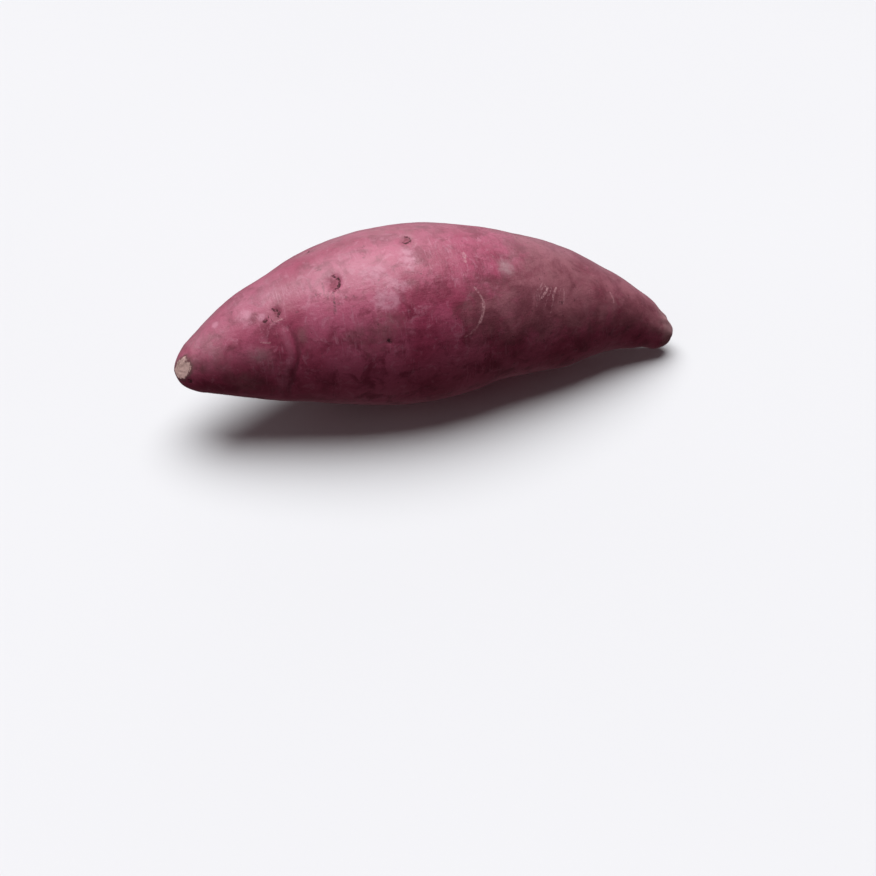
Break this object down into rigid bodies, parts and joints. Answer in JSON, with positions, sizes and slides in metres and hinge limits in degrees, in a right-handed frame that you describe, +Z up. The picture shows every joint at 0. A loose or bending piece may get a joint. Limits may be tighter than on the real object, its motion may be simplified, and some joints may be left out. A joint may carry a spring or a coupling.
{
  "type": "sweet potato",
  "caption": "Whole sweet potato root, a bowed spindle with a cut stem end and a slim root end, lying on a small flat spot.",
  "frame": {"origin": "bottom centre of the bounding box, on the surface that the root rests on", "axes": "+X along the root from the cut stem end to the slim root end, +Z up"},
  "size_m": [0.1706, 0.0604, 0.058],
  "materials": {
    "skin": "satin"
  },
  "bodies": {
    "root": {"sweet_potato": "skin"}
  },
  "joints": []
}
